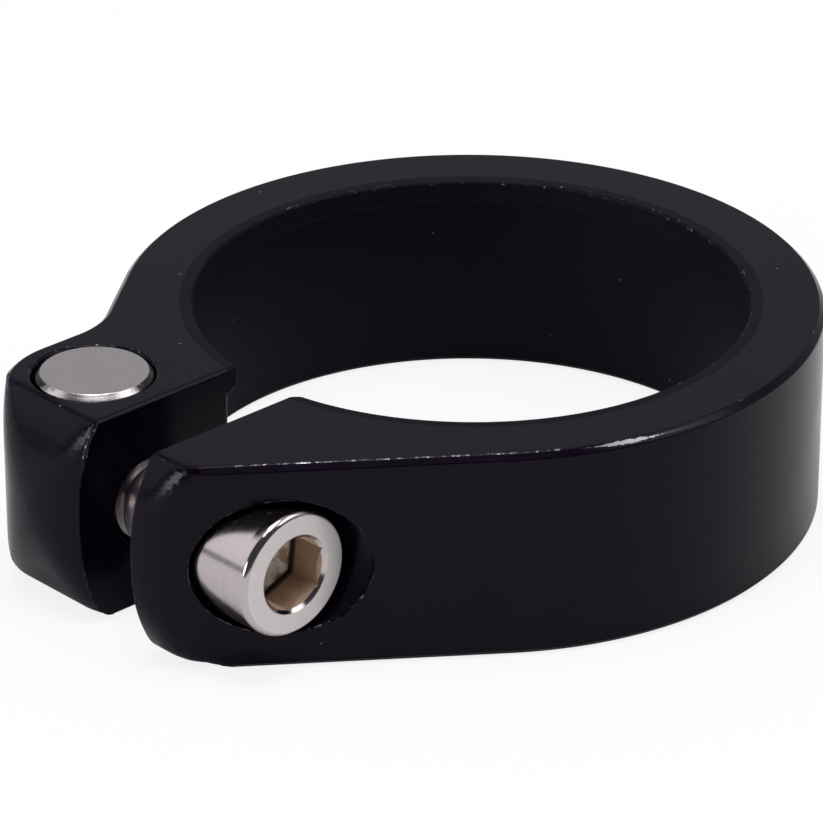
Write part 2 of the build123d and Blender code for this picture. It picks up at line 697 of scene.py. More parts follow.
@dataclass(frozen=True)
class TurnedSteel:
    """Fine turned steel of the barrel nut, with painted shade on its chamfers and side where they sit in the
    collar's hole.
    """

    light: Triple = (0.60, 0.565, 0.58)
    dark: Triple = (0.54, 0.505, 0.52)
    bare: Triple = (0.72, 0.70, 0.70)
    # Colour of the painted shade in the gap between nut and hole.
    painted_gap_shade: Triple = (0.05, 0.042, 0.042)
    face_r: float = 3.17
    smooth: float = 0.2
    rough: float = 0.32
    axis_x: float = -7.4
    axis_y: float = -23.35
    pip_r: float = 0.35

    def make(self) -> bpy.types.Material:
        """Builds the material.

        Returns:
            The material.
        """
        material, graph, shader = new_material("turned_steel")
        place = graph.millimetres((-self.axis_x, -self.axis_y, 0.0))
        x, y, _ = graph.parts(place)
        marks = TURNED_MARKS.place(graph, place, Scale=7.0)
        grain = GRAIN.place(graph, place, Scale=10.0)
        pip = graph.ramp(graph.away(x, y), self.pip_r, 0.6 * self.pip_r)
        worn = EDGE_WEAR.place(graph, place, Scale=3.0, Level=0.9)["Mask"]
        tone = graph.weigh((marks["Tone"], 0.6), (grain["Tone"], 0.4))
        colour = graph.blend(tone, self.dark, self.light)
        colour = graph.blend(worn, colour, self.bare)
        # Painted shade: darkens the chamfers and side outside the top face, where they sit in the collar's hole,
        # most on the back left, with a soft random edge.
        edge = graph.ramp(graph.away(x, y), self.face_r, self.face_r + 0.06)
        behind = graph.times(graph.minus(y, x), 0.21)
        shaded_side = graph.plus(behind, graph.noise(place, 1.2, 3.0, 0.6))
        painted_gap_shade = graph.times(edge, graph.ramp(shaded_side, -0.3, 0.0))
        graph.feed(shader.inputs["Base Color"], graph.blend(painted_gap_shade, colour, self.painted_gap_shade))
        shader.inputs["Metallic"].default_value = 1.0
        graph.feed(shader.inputs["Roughness"], graph.lean(tone, self.smooth, self.rough))
        height = graph.plus(marks["Height"], graph.times(grain["Height"], 0.5), graph.times(pip, -2.0))
        bump(graph, shader, height, 0.003 * MM, 0.4)
        return material


@dataclass(frozen=True)
class BoltSteel:
    """Bright stainless head, brown film inside the key socket with painted shade in its deep corner and a painted
    reflection on its pale floor, and a darker rolled thread.
    """

    light: Triple = (0.50, 0.445, 0.45)
    dark: Triple = (0.43, 0.382, 0.387)
    bare: Triple = (0.62, 0.58, 0.57)
    matt: Triple = (0.79, 0.725, 0.73)
    film: Triple = (0.54, 0.37, 0.24)
    film_dark: Triple = (0.26, 0.17, 0.11)
    # Colour of the painted shade in the key socket's deep corner.
    painted_corner_shade: Triple = (0.02, 0.015, 0.012)
    thread: Triple = (0.30, 0.275, 0.295)
    rust: Triple = (0.30, 0.16, 0.06)
    smooth: float = 0.12
    rough: float = 0.2
    # Pale colour of the bare socket floor, lightened to near white as a painted reflection.
    floor_painted_reflection: Triple = (0.90, 0.84, 0.76)
    face_rough: float = 0.6
    face_soft: float = 0.7
    thread_rough: float = 0.3
    floor_x: float = 7.39
    axis_y: float = -23.35
    face_x: float = 9.99
    base_x: float = 4.99
    film_r: float = 2.36
    film_depth: float = 0.2
    flats_r: float = 2.0
    flats_deg: float = 52.0
    ding_y: float = -1.85
    ding_z: float = 3.0

    def key_reach(self, graph: Graph, y: Feed, z: Feed) -> Socket:
        """Distance from the bolt's axis, measured square to the nearest flat of the key socket.

        Args:
            graph: The material.
            y: Place across the bolt, from its axis.
            z: Place above the bolt's axis.

        Returns:
            The distance, in millimetres.
        """
        reach: Feed = 0.0
        for turn in range(3):
            angle = math.radians(self.flats_deg + 60 * turn)
            parts = (graph.times(y, math.cos(angle)), graph.times(z, math.sin(angle)))
            reach = graph.math(Op.MOST, reach, graph.math(Op.SIZE, graph.plus(*parts)))
        return reach

    def make(self) -> bpy.types.Material:
        """Builds the material.

        Returns:
            The material.
        """
        material, graph, shader = new_material("bolt_steel")
        place = graph.millimetres((0.0, -self.axis_y, 0.0))
        x, y, z = graph.parts(place)
        spun = graph.millimetres((0.0, -self.axis_y, 0.0), (0.0, 90.0, 0.0))
        marks = TURNED_MARKS.place(graph, spun, Scale=6.0)
        grain = GRAIN.place(graph, place, Scale=9.0)
        worn = EDGE_WEAR.place(graph, place, Scale=3.0, Level=0.8)["Mask"]
        tone = graph.weigh((marks["Tone"], 0.5), (grain["Tone"], 0.5))
        colour = graph.blend(tone, self.dark, self.light)
        shank = graph.ramp(x, self.base_x + 0.1, self.base_x - 0.1)
        rusty = graph.ramp(graph.noise(place, 2.4, 5.0, 0.7), 0.56, 0.66)
        colour = graph.blend(shank, colour, graph.blend(rusty, self.thread, self.rust))
        face = graph.ramp(x, self.face_x - 0.05, self.face_x - 0.01)
        colour = graph.blend(face, colour, self.matt)
        inside = graph.ramp(graph.away(y, z), self.film_r, self.film_r - 0.05)
        deep = graph.ramp(x, self.face_x - self.film_depth, self.face_x - self.film_depth - 0.08)
        film = graph.times(inside, deep, graph.math(Op.OVER, x, self.base_x))
        film_and_corner_shade = graph.blend(graph.noise(place, 2.2, 4.0, 0.65), self.film_dark, self.film)
        # Painted reflection: near-white patches on the socket's drilled floor, kept off its shaded corner.
        floor = graph.ramp(x, self.floor_x + 0.06, self.floor_x + 0.02)
        # Painted shade: darkens the socket's floor next to its flats, deep in the corner.
        low = graph.ramp(x, self.floor_x + 0.12, self.floor_x + 0.5, 1.0, 0.0)
        beside = graph.ramp(self.key_reach(graph, y, z), self.flats_r - 0.35, self.flats_r - 0.05)
        corner_shade_mask = graph.times(low, beside)
        floor = graph.times(floor, graph.ramp(corner_shade_mask, 0.0, 1.0, 1.0, 0.0))
        film_and_corner_shade = graph.blend(corner_shade_mask, film_and_corner_shade, self.painted_corner_shade)
        floor = graph.times(floor, graph.ramp(graph.noise(place, 1.5, 4.0, 0.65), 0.35, 0.55))
        colour = graph.blend(film, colour, graph.blend(floor, film_and_corner_shade, self.floor_painted_reflection))
        graph.feed(shader.inputs["Base Color"], graph.blend(worn, colour, self.bare))
        soft = graph.math(Op.MOST, film, graph.times(face, self.face_soft))
        graph.feed(shader.inputs["Metallic"], graph.ramp(soft, 0.0, 1.0, 1.0, 0.0))
        sheen = graph.lean(face, graph.lean(tone, self.smooth, self.rough), self.face_rough)
        sheen = graph.lean(shank, sheen, self.thread_rough)
        graph.feed(shader.inputs["Roughness"], graph.lean(film, sheen, 0.6))
        height = graph.weigh((marks["Height"], 0.6), (grain["Height"], 0.6))
        off_ding = graph.away(graph.minus(y, self.ding_y), graph.minus(z, self.ding_z))
        ding = graph.times(graph.ramp(off_ding, 0.5, 1.5, 12.0, 0.0), graph.noise(place, 1.4, 2.0))
        ding = graph.times(ding, graph.ramp(x, self.face_x - 0.9, self.face_x - 0.4))
        bump(graph, shader, graph.plus(height, ding), 0.006 * MM, 0.5)
        return material


@dataclass(frozen=True)
class FloorWhite:
    """Plain white floor that shows white to the camera and in reflections, and keeps a soft shadow."""

    pale: Triple = (0.92, 0.92, 0.92)
    rough: float = 0.9
    seen_share: float = 0.85
    mirrored_share: float = 0.1

    def make(self) -> bpy.types.Material:
        """Builds the material.

        Returns:
            The material.
        """
        material, graph, shader = new_material("floor_white")
        graph.fill(shader, {"Base Color": self.pale, "Roughness": self.rough, "Specular IOR Level": 0.0})
        path = graph.node("LightPath")
        mirrored = graph.math(Op.MOST, path.outputs["Is Glossy Ray"], path.outputs["Is Transmission Ray"])
        mirrored = graph.times(mirrored, self.mirrored_share)
        seen = graph.times(path.outputs["Is Camera Ray"], self.seen_share)
        white = graph.node("Emission", {"Color": (1.0, 1.0, 1.0), "Strength": 1.0}).outputs[0]
        both = graph.node("MixShader", {0: graph.math(Op.MOST, seen, mirrored), 1: shader.outputs[0], 2: white})
        graph.feed(material.node_tree.nodes["Material Output"].inputs["Surface"], both.outputs[0])
        return material


def new_material(name: str) -> tuple[bpy.types.Material, Graph, bpy.types.Node]:
    """Starts a material.

    Args:
        name: Name of the material.

    Returns:
        The material, its graph and its main shader.
    """
    material = bpy.data.materials.new(name)
    material.use_nodes = True
    return material, Graph(material.node_tree), material.node_tree.nodes["Principled BSDF"]


def bump(graph: Graph, shader: bpy.types.Node, height: Feed, depth: float, strength: float) -> None:
    """Gives a shader's surface relief.

    Args:
        graph: The material.
        shader: Its main shader.
        height: Height of the relief.
        depth: Depth that a height of one stands for, in metres.
        strength: How strongly the relief shows.
    """
    relief = graph.node("Bump", {"Distance": depth, "Strength": strength, "Height": height})
    graph.feed(shader.inputs["Normal"], relief.outputs["Normal"])


def dress(piece: Piece, material: bpy.types.Material) -> None:
    """Gives a piece one material all over.

    Args:
        piece: The piece.
        material: Its material.
    """
    piece.data.materials.clear()
    piece.data.materials.append(material)


@dataclass(frozen=True)
class RimWear:
    """How far the black has rubbed off each edge of the collar, from 0 to 1."""

    hole_left: float = 0.45
    hole_low: float = 0.38
    hole_high: float = 0.26
    nut_near: float = 0.38
    nut_far: float = 0.3
    slit_end: float = 0.36
    slit_corner: float = 0.09
    lip_back: float = 0.36
    lip_front: float = 0.32
    flat_rim: float = 0.45
    round_rim: float = 0.33
    high: float = 0.28
    low: float = 0.24


@dataclass
class Collar:
    """The slit ring with its lip, its two ears and the holes for nut and bolt."""

    bore_r: float = 17.5
    outer_r: float = 21.25
    half_height: float = 6.5
    rim_break: float = 0.35
    lip_r: float = 16.75
    lip_break: float = 0.15
    lip_base: float = 5.15
    slope_foot: float = 4.75
    half_slit: float = 2.5
    slit_break: float = 0.2
    mouth_round: float = 0.2
    mouth_segments: int = 5
    lip_corner: float = 1.5
    ear_end: float = 29.4
    crown_r: float = 11.5625
    end_break: float = 0.15
    face_deg: float = 37.5
    ear_corner: float = 6.0
    nut_fillet: float = 5.5
    flank_x: float = -12.4
    nut_hole_x: float = -7.5
    nut_hole_r: float = 3.65
    nut_hole_break: float = 0.15
    bolt_y: float = -23.35
    bolt_hole_r: float = 2.75
    bolt_hole_break: float = 0.1
    counterbore_r: float = 4.175
    head_seat_x: float = 4.85
    edge_width: float = 0.06
    soft_y: float = -25.2
    soft_step: float = 0.35
    soft_fade: float = 1.2
    crease_reach: float = 1.3
    top_reach: float = 0.35
    foot_reach: float = 1.5
    flat_y: float = -10.5
    hole_y: float = -18.4
    hole_reach: float = 0.22
    soft_passes: int = 2
    rim_near: float = 0.3
    slit_near: float = 0.4
    crisp_deg: float = 50.0
    corner_deg: float = 30.0
    corner_margin_deg: float = 5.0
    arc_step_deg: float = 2.5
    ring_steps: int = 200
    bore_steps: int = 288
    hole_steps: int = 128
    end_steps: int = 180
    crown_steps: int = 28
    corner_steps: int = 10
    past: float = 1.0
    wear: RimWear = RimWear()
    piece: Piece | None = field(default=None, init=False)

    def outline(self) -> list[Point2]:
        """Ring and both ears seen from above, before the slit is cut.

        Returns:
            The corners of the closed outline, anticlockwise.
        """
        lean = math.radians(self.face_deg)
        touch = Vector((self.outer_r * math.cos(lean), -self.outer_r * math.sin(lean)))
        far_x = (self.outer_r - self.ear_end * math.sin(lean)) / math.cos(lean)
        root_y = (-self.flank_x * math.cos(lean) - self.outer_r) / math.sin(lean)
        ears = Shop.rounded(
            [
                Vector((-touch.x, touch.y)),
                Vector((self.flank_x, root_y)),
                Vector((self.flank_x, -self.ear_end)),
                Vector((far_x, -self.ear_end)),
                touch,
            ],
            [self.nut_fillet, self.ear_corner, self.ear_corner],
            self.arc_step_deg,
        )
        outline = [(point.x, point.y) for point in ears]
        for k in range(1, self.ring_steps):
            angle = (math.pi + 2 * lean) * k / self.ring_steps - lean
            outline.append((self.outer_r * math.cos(angle), self.outer_r * math.sin(angle)))
        return outline

    def blank(self) -> Piece:
        """The outline raised to full height with its rims broken.

        Returns:
            The solid blank.
        """
        bm = Shop.drawn(self.outline(), Along.Z, -self.half_height, self.half_height)
        rims = [e for e in bm.edges if abs(e.verts[0].co.z - e.verts[1].co.z) < 1e-6]
        Shop.bevel(bm, rims, self.rim_break, 1)
        bmesh.ops.recalc_face_normals(bm, faces=bm.faces)
        return Shop.to_object(bm, "collar_shell")

    def bore_tool(self) -> Mesh:
        """Bore, sloped underside of the lip and lip opening, with both rims broken.

        Returns:
            The closed tool.
        """
        top = self.half_height + self.past
        foot_flare = self.rim_break + self.past
        lip_flare = self.lip_break + self.past
        profile = [
            (0.0, -top),
            (self.bore_r + foot_flare, -top),
            (self.bore_r, self.rim_break - self.half_height),
            (self.bore_r, self.slope_foot),
            (self.lip_r, self.lip_base),
            (self.lip_r, self.half_height - self.lip_break),
            (self.lip_r + lip_flare, top),
            (0.0, top),
        ]
        return Shop.turned(profile, Along.Z, Vector((0, 0, 0)), self.bore_steps)

    def crown_tool(self) -> Mesh:
        """What comes off the ears' ends to leave one round surface with its axis along X.

        Returns:
            The closed tool.
        """
        axis_y = self.crown_r - self.ear_end
        limit = math.asin(self.half_height / self.crown_r) - self.end_break / self.crown_r
        arc = []
        for k in range(self.crown_steps + 1):
            angle = limit * (2 * k / self.crown_steps - 1)
            arc.append((axis_y - self.crown_r * math.cos(angle), self.crown_r * math.sin(angle)))
        top_y = axis_y - math.sqrt(self.crown_r**2 - self.half_height**2) + self.end_break
        rise = self.half_height - arc[-1][1]
        run = top_y - arc[-1][0]
        high = (top_y + run * self.past / rise, self.half_height + self.past)
        far = -self.ear_end - self.past
        section = [(far, -high[1]), (high[0], -high[1]), *arc, high, (far, high[1])]
        return Shop.drawn(section, Along.X, -self.outer_r - self.past, self.outer_r + self.past)

    def slit_tool(self) -> Mesh:
        """Slit with its upper and lower edges broken.

        Returns:
            The closed tool.
        """
        wide = self.half_slit + self.slit_break + self.past
        low = self.half_height - self.slit_break
        high = self.half_height + self.past
        section = [
            (-wide, -high),
            (wide, -high),
            (self.half_slit, -low),
            (self.half_slit, low),
            (wide, high),
            (-wide, high),
            (-self.half_slit, low),
            (-self.half_slit, -low),
        ]
        return Shop.drawn(section, Along.Y, -self.ear_end - self.past, 0.0)

    def nut_hole_tool(self) -> Mesh:
        """Upright hole for the barrel nut with both rims broken.

        Returns:
            The closed tool.
        """
        high = self.half_height + self.past
        wide = self.nut_hole_r + self.nut_hole_break + self.past
        low = self.half_height - self.nut_hole_break
        profile = [
            (0.0, -high),
            (wide, -high),
            (self.nut_hole_r, -low),
            (self.nut_hole_r, low),
            (wide, high),
            (0.0, high),
        ]
        return Shop.turned(profile, Along.Z, Vector((self.nut_hole_x, self.bolt_y, 0)), self.hole_steps)

    def bolt_hole_tool(self) -> Mesh:
        """Bolt hole through both ears, broken at the slit, and the counterbore for the head.

        Returns:
            The closed tool.
        """
        rim = self.half_slit + self.bolt_hole_break
        wide = self.bolt_hole_r + 2 * self.bolt_hole_break
        inner = self.half_slit - self.bolt_hole_break
        profile = [
            (0.0, self.flank_x - self.past),
            (self.bolt_hole_r, self.flank_x - self.past),
            (self.bolt_hole_r, -rim),
            (wide, -inner),
            (wide, inner),
            (self.bolt_hole_r, rim),
            (self.bolt_hole_r, self.head_seat_x),
            (self.counterbore_r, self.head_seat_x),
            (self.counterbore_r, self.outer_r),
            (0.0, self.outer_r),
        ]
        return Shop.turned(profile, Along.X, Vector((0, self.bolt_y, 0)), self.hole_steps)

    def end_tool(self) -> Mesh:
        """Bevel between the nut ear's slit wall and its crown.

        Returns:
            The closed tool.
        """
        near = -self.half_slit
        profile = [
            (self.crown_r - self.slit_break, near),
            (self.crown_r + self.past, near - self.slit_break - self.past),
            (self.crown_r + self.past, 0.0),
            (self.crown_r - self.slit_break, 0.0),
        ]
        return Shop.turned(profile, Along.X, Vector((0, self.crown_r - self.ear_end, 0)), self.end_steps)

    def lip_corner_tool(self) -> Mesh:
        """What comes off the lip's corner on the bolt ear to round it.

        Returns:
            The closed tool.
        """
        middle_x = self.half_slit + self.lip_corner
        middle_y = -math.sqrt((self.lip_r + self.lip_corner) ** 2 - middle_x**2)
        margin = math.radians(self.corner_margin_deg)
        start = math.pi - margin
        end = math.atan2(-middle_y, -middle_x) + margin
        arc = []
        for k in range(self.corner_steps + 1):
            angle = start + (end - start) * k / self.corner_steps
            arc.append((middle_x + self.lip_corner * math.cos(angle), middle_y + self.lip_corner * math.sin(angle)))
        clear = self.half_slit - self.past / 2
        section = [(clear, arc[0][1]), *arc, (arc[-1][0], middle_y + 2 * self.lip_corner)]
        section.append((clear, middle_y + 2 * self.lip_corner))
        high = self.half_height + self.past
        return Shop.drawn(section, Along.Z, -high, high)

    def round_mouth(self, bm: Mesh) -> None:
        """Rounds the upright corners where the slit meets the bore.

        Args:
            bm: The cut collar.
        """
        corners = []
        for edge in bm.edges:
            middle = (edge.verts[0].co + edge.verts[1].co) / 2
            on_wall = all(abs(abs(v.co.x) - self.half_slit) < 1e-3 for v in edge.verts)
            inside = -self.bore_r < middle.y and abs(middle.z) < self.half_height - self.rim_break
            if on_wall and inside and edge.calc_face_angle(0.0) > math.radians(self.corner_deg):
                corners.append(edge)
        Shop.bevel(bm, corners, self.mouth_round, self.mouth_segments)

    @staticmethod
    def merged(one: Surface, two: Surface, reach: float) -> Surface:
        """Rounds the edge where two surfaces meet.

        Args:
            one: Distance outside the first surface and its direction.
            two: The same for the second surface.
            reach: How far from the edge the rounding goes.

        Returns:
            Distance outside the rounded surface and its direction.
        """
        span = reach * one[1].cross(two[1]).length + 1e-6
        apart = (one[0] - two[0]) / span
        share = max(0.0, 1.0 - abs(apart))
        weight = min(1.0, max(0.0, 0.5 + apart / 2))
        direction = (one[1] * weight + two[1] * (1 - weight)).normalized()
        return max(one[0], two[0]) + span * share * share / 4, direction

    def ear_side(self, place: Vector) -> Surface:
        """Distance outside the nearer ear's side and round corner, and its direction.

        Args:
            place: A place on an ear.

        Returns:
            The distance and the direction.
        """
        lean = math.radians(self.face_deg) if place.x > 0 else math.pi
        out = self.outer_r if place.x > 0 else -self.flank_x
        facing = Vector((math.cos(lean), -math.sin(lean), 0))
        towards_end = Vector((-math.sin(lean), -math.cos(lean), 0)) if place.x > 0 else Vector((0, -1, 0))
        centre_y = self.ear_corner - self.ear_end
        centre_x = (out - self.ear_corner - centre_y * facing.y) / facing.x
        spoke = Vector((place.x - centre_x, place.y - centre_y, 0))
        if spoke.dot(towards_end) > 0:
            return spoke.length - self.ear_corner, spoke.normalized()
        return place.dot(facing) - out, facing

    def counterbore_side(self, place: Vector) -> Surface:
        """Distance outside the counterbore's wall, towards its axis, and its direction.

        Args:
            place: A place on the bolt ear.

        Returns:
            The distance and the direction.
        """
        spoke = Vector((0, self.bolt_y - place.y, -place.z))
        if place.x < self.head_seat_x + 0.02:
            return -self.outer_r, Vector((1, 0, 0))
        return self.counterbore_r - spoke.length, spoke.normalized()

    def soft(self, place: Vector) -> bool:
        """Whether a place is on an ear's end, or by the counterbore."""
        return place.y < (self.hole_y if place.x > 0 else self.soft_y)

    def divide_ears(self, bm: Mesh) -> None:
        """Divides the faces of the ears finely enough to be rounded.

        Args:
            bm: The cut collar.
        """

        def cut(where: Vector, square: Vector) -> None:
            """Divides the faces along a plane.

            Args:
                where: A place on the plane.
                square: The direction square to it.
            """
            places = [(face, face.calc_center_median()) for face in bm.faces]
            faces = [face for face, at in places if self.soft(at) and abs(at.x) > self.half_slit + 0.01]
            edges = dict.fromkeys(edge for face in faces for edge in face.edges)
            verts = dict.fromkeys(vert for face in faces for vert in face.verts)
            bmesh.ops.bisect_plane(
                bm, geom=faces + list(edges) + list(verts), plane_co=where, plane_no=square, dist=1e-4
            )

        for edge_y in (self.soft_y, self.hole_y):
            whole = list(bm.verts) + list(bm.edges) + list(bm.faces)
            bmesh.ops.bisect_plane(bm, geom=whole, plane_co=(0, edge_y, 0), plane_no=(0, 1, 0), dist=1e-4)
        for square, start, end in (
            (Vector((1, 0, 0)), self.flank_x, -self.flank_x),
            (Vector((0, 1, 0)), -self.ear_end, self.hole_y),
            (Vector((0, 0, 1)), -self.half_height, self.half_height),
        ):
            count = round((end - start) / self.soft_step)
            for index in range(1, count):
                cut(square * (start + (end - start) * index / count), square)

    def soften(self, bm: Mesh) -> None:
        """Rubs the edges and corners of both ears' ends and the counterbore's rim round.

        Args:
            bm: The collar with its ears divided.
        """
        for vert in (v for v in bm.verts if self.soft(v.co)):
            for _ in range(self.soft_passes):
                lean = Vector((0, vert.co.y + self.ear_end - self.crown_r, vert.co.z))
                crown = (lean.length - self.crown_r, lean.normalized())
                flat = (abs(vert.co.z) - self.half_height, Vector((0, 0, math.copysign(1, vert.co.z))))
                fade = max(0.0, min(1.0, (self.soft_y - vert.co.y) / self.soft_fade))
                rim = fade * (self.top_reach if vert.co.z > 0 else self.foot_reach)
                shape = self.merged(crown, self.ear_side(vert.co), self.crease_reach)
                shape = self.merged(shape, flat, rim)
                if vert.co.x > 0:
                    shape = self.merged(shape, self.counterbore_side(vert.co), self.hole_reach)
                vert.co -= shape[1] * max(0.0, shape[0])

    def wear_at(self, place: Vector) -> float:
        """How far the black has rubbed off an edge.

        Args:
            place: A place on the edge.

        Returns:
            The wear, from 0 to 1.
        """
        off_bolt = abs(math.hypot(place.y - self.bolt_y, place.z) - self.counterbore_r)
        off_nut = abs(math.hypot(place.x - self.nut_hole_x, place.y - self.bolt_y) - self.nut_hole_r)
        high = place.z > self.half_height - self.rim_near
        wear = self.wear
        if place.x > self.head_seat_x and off_bolt < self.rim_near:
            below = wear.hole_low if place.z < 0.0 else wear.hole_high
            return wear.hole_left if place.y < self.bolt_y else below
        if off_nut < self.rim_near and high:
            return wear.nut_near if place.x - self.nut_hole_x < place.y - self.bolt_y else wear.nut_far
        if abs(place.x + self.half_slit) < self.slit_near and place.y < self.soft_y and not high:
            return wear.slit_end + wear.slit_corner * max(0.0, place.z / self.half_height) ** 2
        if high and place.xy.length < self.bore_r:
            return wear.lip_back if place.y > 0.0 else wear.lip_front
        if high and place.x > self.half_slit + self.slit_near and place.y > self.soft_y:
            return wear.flat_rim if place.y < self.flat_y else wear.round_rim
        return wear.high if high else wear.low

    def build(self) -> Piece:
        """Cuts the blank and breaks its edges.

        Returns:
            The collar.
        """
        piece = self.blank()
        for tool in (
            self.crown_tool(),
            self.bore_tool(),
            self.slit_tool(),
            self.lip_corner_tool(),
            self.end_tool(),
            self.nut_hole_tool(),
            self.bolt_hole_tool(),
        ):
            Shop.combine(piece, tool, Join.CUT)
        bm = Shop.opened(piece)
        self.round_mouth(bm)
        self.divide_ears(bm)
        self.soften(bm)
        Shop.edged(piece, bm, self.edge_width, self.wear_at)
        Shop.smooth(piece, self.crisp_deg)
        Shop.to_metres(piece)
        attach(piece, "collar_body")
        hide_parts("collar")
        self.piece = piece
        return piece

    def dress(self) -> None:
        """Gives the piece its finish."""
        dress(self.piece, BlackAnodised().make())


@dataclass
class BarrelNut:
    """The turned cross nut that stands upright in the left ear."""

    centre_x: float = -7.4
    centre_y: float = -23.35
    radius: float = 3.5
    low: float = -6.3
    high: float = 6.7
    chamfer: float = 0.33
    cross_r: float = 2.55
    edge_width: float = 0.05
    wear: float = 0.34
    crisp_deg: float = 50.0
    turn_steps: int = 160
    cross_steps: int = 96
    piece: Piece | None = field(default=None, init=False)

    def build(self) -> Piece:
        """Turns the nut and drills its cross hole.

        Returns:
            The nut.
        """
        face_r = self.radius - self.chamfer
        profile = [
            (0.0, self.low),
            (face_r, self.low),
            (self.radius, self.low + self.chamfer),
            (self.radius, self.high - self.chamfer),
            (face_r, self.high),
            (0.0, self.high),
        ]
        centre = Vector((self.centre_x, self.centre_y, 0))
        piece = Shop.to_object(Shop.turned(profile, Along.Z, centre, self.turn_steps), "barrel_nut_turned")
        far = 2 * self.radius
        cross = [(0.0, -far), (self.cross_r, -far), (self.cross_r, far), (0.0, far)]
        Shop.combine(piece, Shop.turned(cross, Along.X, centre, self.cross_steps), Join.CUT)
        Shop.edged(piece, Shop.opened(piece), self.edge_width, lambda place: self.wear)
        Shop.smooth(piece, self.crisp_deg)
        Shop.to_metres(piece)
        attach(piece, "nut_body")
        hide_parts("barrel_nut")
        self.piece = piece
        return piece

    def dress(self) -> None:
        """Gives the piece its finish."""
        dress(self.piece, TurnedSteel().make())


@dataclass
class ClampBolt:
    """The socket head bolt with its rolled thread."""

    axis_y: float = -23.35
    base_x: float = 4.99
    head_height: float = 5.0
    head_r: float = 3.875
    head_round: float = 0.45
    under_break: float = 0.2
    length: float = 16.0
    pitch: float = 0.8
    crest_r: float = 2.45
    root_r: float = 2.06
    crest_flat: float = 0.12
    root_flat: float = 0.2
    tip_chamfer: float = 0.6
    hex_flats: float = 4.0
    hex_turn: float = 22.0
    hex_depth: float = 2.6
    mouth_d: float = 4.9
    drill_r: float = 1.8
    drill_lift: float = 0.02
    drill_deg: float = 118.0
    edge_width: float = 0.05
    wear: float = 0.34
    crisp_deg: float = 40.0
    turn_steps: int = 160
    entry_steps: int = 96
    thread_steps: int = 60
    piece: Piece | None = field(default=None, init=False)

    def head(self) -> Piece:
        """Turned head with its hex socket.

        Returns:
            The head.
        """
        face_x = self.base_x + self.head_height
        profile = [
            (0.0, self.base_x),
            (self.head_r - self.under_break, self.base_x),
            (self.head_r, self.base_x + self.under_break),
        ]
        steps = 8
        for k in range(steps + 1):
            angle = math.pi / 2 * k / steps
            profile.append(
                (
                    self.head_r - self.head_round * (1 - math.cos(angle)),
                    face_x - self.head_round * (1 - math.sin(angle)),
                )
            )
        profile.append((0.0, face_x))
        centre = Vector((0, self.axis_y, 0))
        piece = Shop.to_object(Shop.turned(profile, Along.X, centre, self.turn_steps), "clamp_bolt_threaded")
        flats_r = self.hex_flats / 2
        lean = math.tan(math.radians(self.drill_deg / 2))
        mouth = self.mouth_d / 2 - flats_r
        tip_r = flats_r / math.cos(math.pi / 6)
        turn = math.radians(self.hex_turn)
        hexagon = [
            (tip_r * math.cos(turn + math.pi * k / 3), tip_r * math.sin(turn + math.pi * k / 3)) for k in range(6)
        ]
        key = Shop.drawn(hexagon, Along.X, face_x - self.hex_depth, face_x + self.head_height)
        bmesh.ops.translate(key, vec=centre, verts=key.verts)
        Shop.combine(piece, key, Join.CUT)
        floor_x = face_x - self.hex_depth
        entry = [
            (0.0, floor_x - self.drill_r / lean),
            (self.drill_r + self.drill_lift * lean, floor_x + self.drill_lift),
            (self.drill_r, face_x - self.mouth_d / 2 + self.drill_r),
            (flats_r + 2 * mouth, face_x + mouth),
            (0.0, face_x + mouth),
        ]
        Shop.combine(piece, Shop.turned(entry, Along.X, centre, self.entry_steps), Join.CUT)
        return piece

    def shank(self) -> Mesh:
        """Threaded shank, from inside the head to the chamfered tip.

        Returns:
            The closed shank.
        """
        tip = self.base_x - self.length
        end = self.base_x + self.head_round
        flank = (self.pitch - self.crest_flat - self.root_flat) / 2
        bm = bmesh.new()
        place = tip - 2 * self.pitch
        points = []
        while place < end + 2 * self.pitch:
            points.append((self.root_r, place))
            points.append((self.root_r, place + self.root_flat))
            points.append((self.crest_r, place + self.root_flat + flank))
            points.append((self.crest_r, place + self.root_flat + flank + self.crest_flat))
            place += self.pitch
        corners = [bm.verts.new((radius, 0.0, along)) for radius, along in points]
        edges = [bm.edges.new(pair) for pair in zip(corners, corners[1:])]
        bmesh.ops.spin(
            bm,
            geom=corners + edges,
            cent=(0, 0, 0),
            axis=(0, 0, 1),
            dvec=(0, 0, self.pitch / self.thread_steps),
            angle=math.tau,
            steps=self.thread_steps,
            use_merge=False,
        )
        bmesh.ops.remove_doubles(bm, verts=bm.verts, dist=1e-4)
        for cut, outward in ((tip, -1), (end, 1)):
            whole = list(bm.verts) + list(bm.edges) + list(bm.faces)
            made = bmesh.ops.bisect_plane(
                bm, geom=whole, plane_co=(0, 0, cut), plane_no=(0, 0, outward), clear_outer=True
            )
            rim = [item for item in made["geom_cut"] if isinstance(item, bmesh.types.BMEdge)]
            bmesh.ops.edgeloop_fill(bm, edges=rim)
        bmesh.ops.remove_doubles(bm, verts=bm.verts, dist=1e-4)
        for vert in bm.verts:
            limit = self.crest_r - self.tip_chamfer + (vert.co.z - tip)
            reach = vert.co.xy.length
            if reach > limit:
                vert.co.xy *= limit / reach
        bmesh.ops.recalc_face_normals(bm, faces=bm.faces)
        bmesh.ops.transform(
            bm, matrix=Matrix.Translation((0, self.axis_y, 0)) @ Along.X.matrix(), verts=bm.verts
        )
        return bm

    def build(self) -> Piece:
        """Joins head and shank.

        Returns:
            The bolt.
        """
        piece = self.head()
        Shop.edged(piece, Shop.opened(piece), self.edge_width, lambda place: self.wear)
        Shop.combine(piece, self.shank(), Join.ADD)
        Shop.smooth(piece, self.crisp_deg)
        Shop.to_metres(piece)
        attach(piece, "bolt_body")
        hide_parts("clamp_bolt")
        self.piece = piece
        return piece

    def dress(self) -> None:
        """Gives the piece its finish."""
        dress(self.piece, BoltSteel().make())


